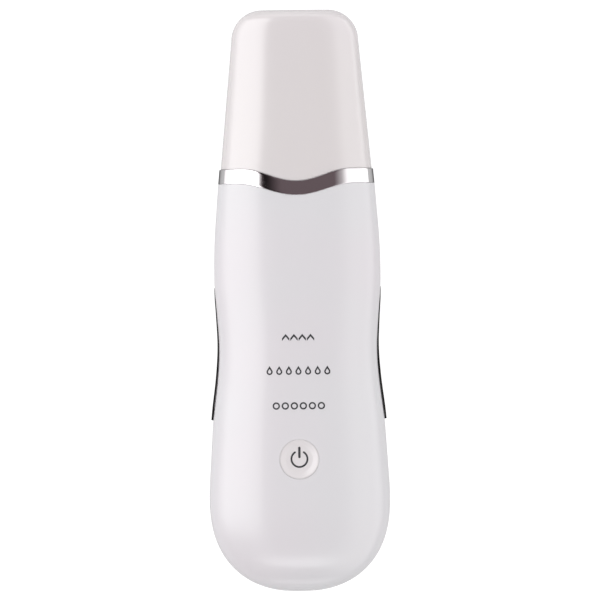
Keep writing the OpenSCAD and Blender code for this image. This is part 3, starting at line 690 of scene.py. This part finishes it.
def neck_screw_cutters():
    """Pockets in the neck for the heads of the two shell screws."""
    low, high = cad_box("shell_screws")
    head_r, pocket_r, bottom, top = 1.85, 2.0, 3.0, 8.6
    y = (low.y + high.y) / 2
    profile = [(0, bottom), (pocket_r, bottom), (pocket_r, top), (0, top)]
    return [lathe(f"cutter_{side}", profile, (side * (high.x - head_r), y), steps=48) for side in (-1, 1)]


def label_cutter():
    """A pocket with round corners, a little larger than the rating label."""
    low, high = cad_box("rating_label")
    gap, corner = 0.1, 2.1
    outline = round_rectangle((low.x - gap, low.y - gap), (high.x + gap, high.y + gap), corner, 6)
    return upright("label_cutter", outline, -1, high.z + 0.01)


def make_shells():
    front = half_shell("front_shell_skin", 1)
    cut(front, port_cutter())
    finish_piece(front, MATERIALS["shell_plastic"], "housing", ["front_shell"])
    rear = half_shell("rear_shell_skin", -1)
    cut(rear, port_cutter(), label_cutter(), *neck_screw_cutters())
    finish_piece(rear, MATERIALS["shell_plastic"], "housing", ["rear_shell"])


# ---------- band ----------

BAND_FILLET, BAND_GAP = 0.12, 0.02
BAND_INSET = SPIGOT_INSET - 0.05   # the inside of the band


def make_band():
    """A bright band that follows the wave, seated on the shells behind the cap."""
    low, high = BAND_Y + BAND_GAP, BAND_TOP - BAND_GAP
    flat_low, flat_high = low + BAND_FILLET, high - BAND_FILLET
    profile = [(flat_low - BAND_FILLET * math.cos(a), BAND_FILLET * (1 - math.sin(a))) for a in quarter(6)]
    profile += [(mix(flat_low, flat_high, i / 8), 0.0) for i in range(1, 8)]
    profile += [(flat_high + BAND_FILLET * math.sin(a), BAND_FILLET * (1 - math.cos(a))) for a in quarter(6)]
    profile += [(high, BAND_INSET), (low, BAND_INSET)]
    section = full_section(288)
    rings = [body_ring(y, inset, section, share=1.0) for y, inset in profile]
    band = loft("chrome_band_skin", rings, closed=True)
    finish_piece(band, MATERIALS["band_chrome"], "housing", ["chrome_band"])


# ---------- cap ----------

CAP_MOUTH = BAND_TOP + 0.05
CAP_MOUTH_HALF = CAP_HIGH.x
CAP_TOP_HALF = 19.0
CAP_CORNER = 9.2
CAP_WALL = 1.6
CAP_FILLET = 0.16                  # rounding of the mouth's outer edge
CAP_RISE = (CAP_HIGH.z - PART_Z, 6.9)
CAP_TOP_Y = HALF_LENGTH - CAP_CORNER
CAP_ROWS, CAP_WAVE_ROWS = 24, 8    # rings up the straight sides, and how many of them follow the wave
CAP_ROUND = 4.0                    # length over which the faces round off to the end
CAP_ROUND_POWER = 2.4
CAP_END_SHARE = 0.998              # how much of a full rounding is made; the rest is a narrow flat end


def cap_taper(y):
    return (y - CAP_MOUTH) / (CAP_TOP_Y - CAP_MOUTH)


def cap_half(y, inset):
    if y <= CAP_TOP_Y:
        return mix(CAP_MOUTH_HALF, CAP_TOP_HALF, cap_taper(y)) - inset
    radius = CAP_CORNER - inset
    return CAP_TOP_HALF - CAP_CORNER + radius * superellipse((y - CAP_TOP_Y) / radius, 2)


def cap_rise(y, inset):
    rise = mix(*CAP_RISE, cap_taper(y)) - inset
    end = CAP_END_SHARE * clamp01((y - HALF_LENGTH + CAP_ROUND) / (CAP_ROUND - inset))
    return rise * superellipse(end, CAP_ROUND_POWER)


def cap_ring(y, share, inset, section):
    ring = []
    for across, up in section:
        x = cap_half(y, inset) * across
        ring.append((x, y - share * wave(x, y), PART_Z + cap_rise(y, inset) * up))
    return ring


def make_cap():
    """A hollow cap whose mouth follows the wave."""
    section = full_section(240)
    outer = [cap_ring(CAP_MOUTH + CAP_FILLET * (1 - math.sin(a)), 1, CAP_FILLET * (1 - math.cos(a)), section)
             for a in quarter(5)[::-1]]
    inner = [cap_ring(CAP_MOUTH, 1, CAP_WALL, section)]
    for skin, inset in ((outer, 0.0), (inner, CAP_WALL)):
        for i in range(1, CAP_ROWS + 1):
            y = mix(CAP_MOUTH + CAP_FILLET, CAP_TOP_Y, i / CAP_ROWS)
            skin.append(cap_ring(y, 1 - ease(i / CAP_WAVE_ROWS), inset, section))
        for a in quarter(28)[1:]:
            skin.append(cap_ring(mix(CAP_TOP_Y, HALF_LENGTH - inset, math.sin(a)), 0, inset, section))
    cap = loft("protective_cap_skin", outer[::-1] + inner)
    finish_piece(cap, MATERIALS["cap_plastic"], "cap", ["protective_cap"])


# ---------- side strips ----------

STRIP_BOTTOM, STRIP_TOP = [corner.y for corner in cad_box("right_electrode_strip")]
STRIP_HALF = 3.1                   # half its height where it is widest
STRIP_POINT = 0.35                 # and at its narrow upper end
STRIP_SWELL = 0.62                 # share of its length over which it widens
STRIP_ROUND = 0.14                 # share of its length that its round lower end takes
STRIP_PROUD = (0.12, 0.5)          # how far it stands out at its upper end, and how much more below
STRIP_SUNK = 0.06                  # how far its back lies inside the body's surface
STRIP_END = 5.5                    # length of the lower end, where the rings lie closer


def strip_share(y):
    return (STRIP_TOP - y) / (STRIP_TOP - STRIP_BOTTOM)


def strip_height(y):
    share = strip_share(y)
    height = STRIP_POINT + (STRIP_HALF - STRIP_POINT) * ease(share / STRIP_SWELL)
    return max(0.02, height * superellipse(max(0.0, share - 1 + STRIP_ROUND) / STRIP_ROUND, 2))


def strip_ring(y, side):
    """A ring round the strip at y: its domed outside, then its back."""
    height = strip_height(y)
    proud = (STRIP_PROUD[0] + STRIP_PROUD[1] * strip_share(y) ** 0.45) * min(1.0, height / 0.5)
    cells = 14
    levels = [-math.cos(math.pi * i / cells) for i in range(cells + 1)]
    outside = [(height * u, proud * superellipse(u, 3.2) + 0.01) for u in levels]
    inside = [(height * u, -STRIP_SUNK) for u in levels[::-1]]
    return [(side * (side_reach(y, up) + out), y, PART_Z + up) for up, out in outside + inside]


def make_strip(name, side, node):
    """A leaf of dark plating that lies on the body's side and stands proud most at its lower end."""
    ys = [mix(STRIP_TOP, STRIP_BOTTOM + STRIP_END, i / 60) for i in range(61)]
    ys += [STRIP_BOTTOM + STRIP_END * (1 - math.sin(a)) for a in quarter(16)[1:]]
    strip = loft(name, [strip_ring(y, side) for y in ys])
    finish_piece(strip, MATERIALS["dark_chrome"], "housing", [node])


# ---------- button ----------

BUTTON_R = 5.9
BUTTON_FACE = BUTTON_HIGH.z
BUTTON_FILLET = 0.06
FLANGE_Z, FLANGE_THICK = 20.9, 0.8  # the flange that keeps it in the shell
STEM_R = 1.6
DISH_R = 5.65                      # where the dish begins
DISH_WALL = (1.9, 0.3)             # width and depth of its steeper rim
DISH_FLOOR = 0.25                  # how much deeper the middle is


def dish_height(radius):
    """Height of the button's dished face at a distance from its middle."""
    wall = DISH_WALL[1] * ease((DISH_R - radius) / DISH_WALL[0])
    return BUTTON_FACE - wall - DISH_FLOOR * max(0.0, 1 - (radius / DISH_R) ** 2)


def button_height(x, y):
    """Height of the button's face over a point of the plan."""
    return dish_height(math.hypot(x - BUTTON_X, y - BUTTON_Y))


def make_button():
    """A dished round button on a flange and a stem."""
    edge = BUTTON_R - BUTTON_FILLET
    profile = [(edge * i / 32, dish_height(edge * i / 32)) for i in range(33)]
    top = dish_height(edge)
    profile += [(edge + BUTTON_FILLET * math.sin(a), top - BUTTON_FILLET * (1 - math.cos(a)))
                for a in quarter(5)[1:]]
    flange_r, flange_top = BUTTON_HIGH.x - BUTTON_X, FLANGE_Z + FLANGE_THICK
    profile += [(BUTTON_R, flange_top), (flange_r, flange_top), (flange_r, FLANGE_Z)]
    profile += [(STEM_R, FLANGE_Z), (STEM_R, BUTTON_LOW.z), (0, BUTTON_LOW.z)]
    button = lathe("power_button_skin", profile, (BUTTON_X, BUTTON_Y), steps=128)
    finish_piece(button, MATERIALS["button_plastic"], "power_button", ["power_button"])


# ---------- blade unit ----------

BLADE_THICK = 1.0
BEND_Y, BEND_R = 62.0, 18.0        # where the blade begins to bend forward, and how tightly
BEND = math.radians(26)
TIP_LENGTH = 5.5                   # straight part after the bend
ROOT_HALF, SHOULDER_HALF, TIP_HALF = 10.0, 13.4, 11.5
SHOULDER_Y = (52.3, 53.3)          # the blade widens between these
TIP_CORNER = 1.5
GROUND_LENGTH, GROUND_THICK = 3.0, 0.25    # the tip is ground thin from behind
BLADE_EDGE = 0.12                  # rounding of its long edges
FLAT_LENGTH = BEND_Y - BLADE_LOW.y
ARC_LENGTH = BEND_R * BEND
BLADE_LENGTH = FLAT_LENGTH + ARC_LENGTH + TIP_LENGTH


def blade_spine(s):
    """(y, z, slope) of the blade's middle at a length s from its root."""
    z = BLADE_LOW.z + BLADE_THICK / 2
    if s <= FLAT_LENGTH:
        return BLADE_LOW.y + s, z, 0.0
    turn = min(BEND, (s - FLAT_LENGTH) / BEND_R)
    rest = max(0.0, s - FLAT_LENGTH - ARC_LENGTH)
    return (BEND_Y + BEND_R * math.sin(turn) + rest * math.cos(turn),
            z + BEND_R * (1 - math.cos(turn)) + rest * math.sin(turn), turn)


def blade_half(y, s):
    """Half-width of the root, of the shoulders, and of the taper to the tip's round corners."""
    start, end = SHOULDER_Y
    if y < end:
        return mix(ROOT_HALF, SHOULDER_HALF, ease((y - start) / (end - start)))
    half = mix(SHOULDER_HALF, TIP_HALF, (y - end) / (BLADE_HIGH.y - end))
    left = BLADE_LENGTH - s
    if left >= TIP_CORNER:
        return half
    return half - TIP_CORNER + TIP_CORNER * superellipse((TIP_CORNER - left) / TIP_CORNER, 2)


def blade_ring(s):
    """A ring round the blade, square to it, at a length s from its root."""
    y, z, slope = blade_spine(s)
    half = blade_half(y, s)
    above = BLADE_THICK / 2
    below = mix(above, GROUND_THICK - above, clamp01((s - BLADE_LENGTH + GROUND_LENGTH) / GROUND_LENGTH))
    edge = min(BLADE_EDGE, (above + below) / 2.2)
    return [(x, y - up * math.sin(slope), z + up * math.cos(slope))
            for x, up in round_rectangle((-half, -below), (half, above), edge, 4)]


def make_blade():
    """Stainless blade: a flat root, wider shoulders, and a tip bent towards the front and ground thin."""
    lengths = [i * (BLADE_LENGTH - TIP_CORNER) / 150 for i in range(150)]
    lengths += [BLADE_LENGTH - TIP_CORNER * (1 - math.sin(a)) for a in quarter(10)]
    blade = loft("spatula_blade_skin", [blade_ring(s) for s in lengths])
    finish_piece(blade, MATERIALS["blade_steel"], "housing", ["spatula_blade"])


NOSE_ROUND = (2.1, 2.6)            # length and depth of the plug's rounded face


def make_nose():
    """A plug with a rim that closes the neck, slotted for the seal round the blade."""
    low, high = cad_box("nose_plug")
    gap, rim = 0.05, 0.3
    rim_y = NECK_END + gap
    plug_inset = INNER_NECK_INSET + 0.2
    stations = [(low.y, plug_inset), (rim_y, plug_inset), (rim_y, NECK_INSET + rim)]
    stations += [(rim_y + rim * (1 - math.cos(a)), NECK_INSET + rim * (1 - math.sin(a))) for a in quarter(4)]
    length, depth = NOSE_ROUND
    stations += [(high.y - length * (1 - math.sin(a)), NECK_INSET + depth * (1 - math.cos(a)))
                 for a in quarter(10)]
    section = full_section(200)
    nose = loft("nose_plug_skin", [body_ring(y, inset, section) for y, inset in stations])
    seal_low, seal_high = cad_box("blade_seal")
    cut(nose, block("seal_slot", (seal_low.x - gap, low.y - 2, seal_low.z - gap),
                    (seal_high.x + gap, high.y + 2, seal_high.z + gap)))
    finish_piece(nose, MATERIALS["shell_plastic"], "housing", ["nose_plug"])


# ---------- printed marks ----------

MARK_LIFT = 0.012                  # how far the ink stands off the surface
STROKE = 0.46


def make_mark(name, loops, height, body):
    """Ink in the shape of loops: each is an outline, or a pair of outlines with ink between them.
    height(x, y) is the surface it lies on."""
    points, faces = [], []

    def add(outline, lift):
        first = len(points)
        points.extend([(x, y, height(x, y) + lift) for x, y in outline])
        return list(range(first, len(points)))

    def walls(a, b):
        return [(a[i], a[(i + 1) % len(a)], b[(i + 1) % len(b)], b[i]) for i in range(len(a))]

    for shape in loops:
        outlines = shape if isinstance(shape, tuple) else (shape,)
        tops = [add(outline, MARK_LIFT) for outline in outlines]
        bases = [add(outline, -MARK_LIFT) for outline in outlines]
        for top, base in zip(tops, bases):
            faces += walls(top, base)
        if len(outlines) == 1:
            faces += [tuple(tops[0]), tuple(bases[0])]
        else:
            faces += walls(*tops) + walls(*bases)
    mark = make_object(name, points, faces)
    finish_piece(mark, MATERIALS["print_ink"], body)


def circle(x, y, radius, steps=40):
    return [(x + radius * math.cos(math.tau * i / steps), y + radius * math.sin(math.tau * i / steps))
            for i in range(steps)]


def ring_mark(x, y, radius):
    return circle(x, y, radius), circle(x, y, radius - STROKE)


def drop_outline(x, y, radius, height, steps=40):
    """A drop: a round foot whose sides run up to a point."""
    meet = math.asin(radius / height)
    outline = []
    for i in range(steps + 1):
        a = mix(-meet, math.pi + meet, i / steps)
        outline.append((x + radius * math.cos(a), y - radius * math.sin(a)))
    return outline + [(x, y + height)]


def drop_mark(x, y, radius, height):
    inner = radius - STROKE
    return drop_outline(x, y, radius, height), drop_outline(x, y, inner, inner * height / radius)


def chevron_mark(x, y, half, rise):
    thick = STROKE * 1.75
    return [(x - half, y - rise), (x, y), (x + half, y - rise), (x + half, y - rise + thick), (x, y + thick),
            (x - half, y - rise + thick)]


def row_places(width, count, mark_half):
    return [mix(-width / 2 + mark_half, width / 2 - mark_half, i / (count - 1)) for i in range(count)]


LED_LENGTH = 2.8                   # of one mode light, along the body
MARK_HALF = 1.1                    # half the width of a chevron or a ring
CHEVRON_RISE = 1.3
DROP_R, DROP_HEIGHT = 0.92, 1.75


def make_marks():
    """One row of small generic marks beside each mode light."""
    led_low, led_high = cad_box("mode_leds")
    middle = (led_low.y + led_high.y) / 2
    pitch = (led_high.y - led_low.y - LED_LENGTH) / 2
    chevrons = [chevron_mark(x, middle + pitch + 0.4, MARK_HALF, CHEVRON_RISE)
                for x in row_places(9.6, 4, MARK_HALF)]
    drops = [drop_mark(x, middle + 0.05, DROP_R, DROP_HEIGHT) for x in row_places(19, 7, DROP_R)]
    rings = [ring_mark(x, middle - pitch, MARK_HALF) for x in row_places(15.6, 6, MARK_HALF)]
    make_mark("mode_marks_upper", chevrons, front_height, "housing")
    make_mark("mode_marks_middle", drops, front_height, "housing")
    make_mark("mode_marks_lower", rings, front_height, "housing")


SYMBOL_R, SYMBOL_STROKE = 2.66, 0.56
SYMBOL_GAP = math.radians(33)      # half the opening at the top of the circle
SYMBOL_BAR = (0.36, 0.6, 3.3)      # half-width, lower end and upper end of the bar


def make_power_symbol():
    """A circle open at the top, with an upright bar in the opening."""
    centre_y = BUTTON_Y + 0.1

    def on_arc(radius, turn):
        return (BUTTON_X + radius * math.sin(turn), centre_y + radius * math.cos(turn))

    def round_end(turn, way):
        """The stroke's round end; way is -1 where the circle begins and 1 where it ends."""
        x, y = on_arc(SYMBOL_R - SYMBOL_STROKE / 2, turn)
        radius = way * SYMBOL_STROKE / 2
        points = []
        for i in range(1, 8):
            out, ahead = radius * math.cos(math.pi * i / 8), radius * math.sin(math.pi * i / 8)
            points.append((x + out * math.sin(turn) + ahead * math.cos(turn),
                           y + out * math.cos(turn) - ahead * math.sin(turn)))
        return points

    steps = 48
    turns = [mix(SYMBOL_GAP, math.tau - SYMBOL_GAP, i / steps) for i in range(steps + 1)]
    outline = [on_arc(SYMBOL_R, turn) for turn in turns] + round_end(turns[-1], 1)
    outline += [on_arc(SYMBOL_R - SYMBOL_STROKE, turn) for turn in turns[::-1]] + round_end(turns[0], -1)
    half, low, high = SYMBOL_BAR
    bar = []
    for y, start in ((centre_y + low, math.pi), (centre_y + high, 0.0)):
        angles = [start + math.pi * i / 8 for i in range(9)]
        bar += [(BUTTON_X + half * math.cos(a), y + half * math.sin(a)) for a in angles]
    make_mark("power_symbol", [outline, bar], button_height, "power_button")


# ---------- carried-over nodes ----------

def dress_cad_nodes():
    """Gives every CAD node its material."""
    slots = {part["node"]: part["material_slot"] for part in frame["record"]["subparts"]}
    for name, node in frame["nodes"].items():
        node.data.materials.clear()
        node.data.materials.append(MATERIALS[slots[name]])


# ---------- stage ----------

FLOOR_HALF, FLOOR_Z = 6.0, -0.0002  # half the table's width and its height, in metres
FLOOR_GLOW = 1.0                   # brightness of the table
FLOOR_MIRRORED = 0.45              # brightness of its mirror image in glossy surfaces
DARK_CEILING = (0.142, 0.107, 0.116)
TAIL_STRIP = 2.6                   # brightness of the narrow box past the tail

# Brightness across the studio, at angles in degrees from straight up; left is negative
LEFT_BOX = [(-90, 0.8), (-76, 1.3), (-62, 2.6), (-22, 2.6), (-14, 2.4), (-10.7, 0.0)]
RIGHT_BOX = [(13, 0.0), (20, 0.4), (26, 1.1), (60, 1.3), (72, 1.8), (90, 1.1)]
TAIL_ACROSS = [(-28, 0), (-8, 1), (8, 1), (26, 0)]

# Share of the ceiling that a flag hides, at the same angles
FLAG = [(-11, 0.0), (-9, 0.9), (-6.5, 0.88), (-3.5, 0.5), (-1.3, 0.0)]

# Brightness along the body, at angles in degrees from the plane across it; the tail is negative
LEFT_AHEAD = [(-60, 0.1), (-26, 0.15), (-10, 1.0), (42, 1.0), (60, 0.1)]
RIGHT_AHEAD = [(-70, 0.3), (-50, 1.0), (50, 1.0), (70, 0.3)]
TAIL_AHEAD = [(-50, 0), (-46, 1), (-38, 1), (-33, 0)]
END_BOXES = [(-90, 1.2), (-80, 1.2), (-72, 0), (66, 0), (76, 0.9), (90, 0.9)]


def make_floor():
    """A pale lit table, dimmer in reflections."""
    corners = [(x * FLOOR_HALF, y * FLOOR_HALF, FLOOR_Z) for x, y in ((-1, -1), (1, -1), (1, 1), (-1, 1))]
    mesh = bpy.data.meshes.new("floor")
    mesh.from_pydata(corners, [], [(0, 1, 2, 3)])
    floor = bpy.data.objects.new("floor", mesh)
    bpy.context.scene.collection.objects.link(floor)
    tree, shader = new_material("floor_paint")
    shader.inputs["Base Color"].default_value = (0.12, 0.12, 0.12, 1)
    shader.inputs["Roughness"].default_value = 1.0
    shader.inputs["Specular IOR Level"].default_value = 0.0
    shader.inputs["Emission Color"].default_value = (1, 1, 1, 1)
    mirrored = add_node(tree, "ShaderNodeLightPath").outputs["Is Glossy Ray"]
    tree.links.new(ramp(tree, mirrored, FLOOR_GLOW, FLOOR_MIRRORED, 0, 1), shader.inputs["Emission Strength"])
    mesh.materials.append(MATERIALS["floor_paint"])


def tone_ramp(tree, angle, tones):
    """A number that follows tones, a list of (degrees, value), as the angle in radians changes."""
    place = add_node(tree, "ShaderNodeMapRange", Value=angle, From_Min=-math.pi, From_Max=math.pi,
                     To_Min=0.0, To_Max=1.0).outputs[0]
    made = tree.nodes.new("ShaderNodeValToRGB")
    tree.links.new(place, made.inputs[0])
    stops = made.color_ramp.elements
    while len(stops) < len(tones):
        stops.new(0.5)
    for stop, (degrees, value) in zip(stops, tones):
        stop.position = (degrees + 180) / 360
        stop.color = (value, value, value, 1)
    return made.outputs[0]


def calculate(tree, operation, first, second=0.0):
    made = tree.nodes.new("ShaderNodeMath")
    made.operation = operation
    feed(tree, made.inputs[0], first)
    feed(tree, made.inputs[1], second)
    return made.outputs[0]


def make_studio():
    """Soft boxes to each side and past both ends, round a dark ceiling, all of it in the world."""
    world = bpy.data.worlds.new("studio")
    bpy.context.scene.world = world
    world.use_nodes = True
    tree = world.node_tree
    direction = add_node(tree, "ShaderNodeTexCoord").outputs["Generated"]
    parts = add_node(tree, "ShaderNodeSeparateXYZ", Vector=direction)
    across = calculate(tree, "ARCTAN2", parts.outputs["X"], parts.outputs["Z"])
    ahead = calculate(tree, "ARCSINE", parts.outputs["Y"])

    def box(across_tones, ahead_tones):
        width, length = tone_ramp(tree, across, across_tones), tone_ramp(tree, ahead, ahead_tones)
        return calculate(tree, "MULTIPLY", width, length)

    sides = calculate(tree, "ADD", box(LEFT_BOX, LEFT_AHEAD), box(RIGHT_BOX, RIGHT_AHEAD))
    tail = calculate(tree, "MULTIPLY", box(TAIL_ACROSS, TAIL_AHEAD), TAIL_STRIP)
    boxes = calculate(tree, "ADD", calculate(tree, "ADD", sides, tail), tone_ramp(tree, ahead, END_BOXES))
    ceiling = tree.nodes.new("ShaderNodeVectorMath")
    ceiling.operation = "SCALE"
    ceiling.inputs[0].default_value = DARK_CEILING
    tree.links.new(calculate(tree, "SUBTRACT", 1.0, tone_ramp(tree, across, FLAG)), ceiling.inputs["Scale"])
    lit = tree.nodes.new("ShaderNodeVectorMath")
    lit.operation = "ADD"
    tree.links.new(ceiling.outputs[0], lit.inputs[0])
    tree.links.new(boxes, lit.inputs[1])
    tree.links.new(lit.outputs[0], tree.nodes["Background"].inputs["Color"])


def make_camera():
    """Straight down on the front face from far off, with the cap at the top of the picture."""
    lens, sensor = 300.0, 36.0
    view_width = 179.7                 # what the picture shows across
    aim_x, aim_y, roll = 0.7, 0.15, math.radians(-0.65)
    camera = bpy.data.cameras.new("camera")
    camera.lens = lens
    camera.sensor_width = sensor
    placed = bpy.data.objects.new("camera", camera)
    bpy.context.scene.collection.objects.link(placed)
    distance = view_width * lens / sensor
    placed.location = Vector((aim_x, aim_y, PART_Z + distance)) * MM
    placed.rotation_euler = (0, 0, roll)
    bpy.context.scene.camera = placed


dress_cad_nodes()
make_shells()
make_band()
make_cap()
make_strip("right_strip_skin", 1, "right_electrode_strip")
make_strip("left_strip_skin", -1, "left_electrode_strip")
make_button()
make_blade()
make_nose()
make_marks()
make_power_symbol()
make_floor()
make_studio()
make_camera()
bpy.context.scene.view_settings.view_transform = "Standard"
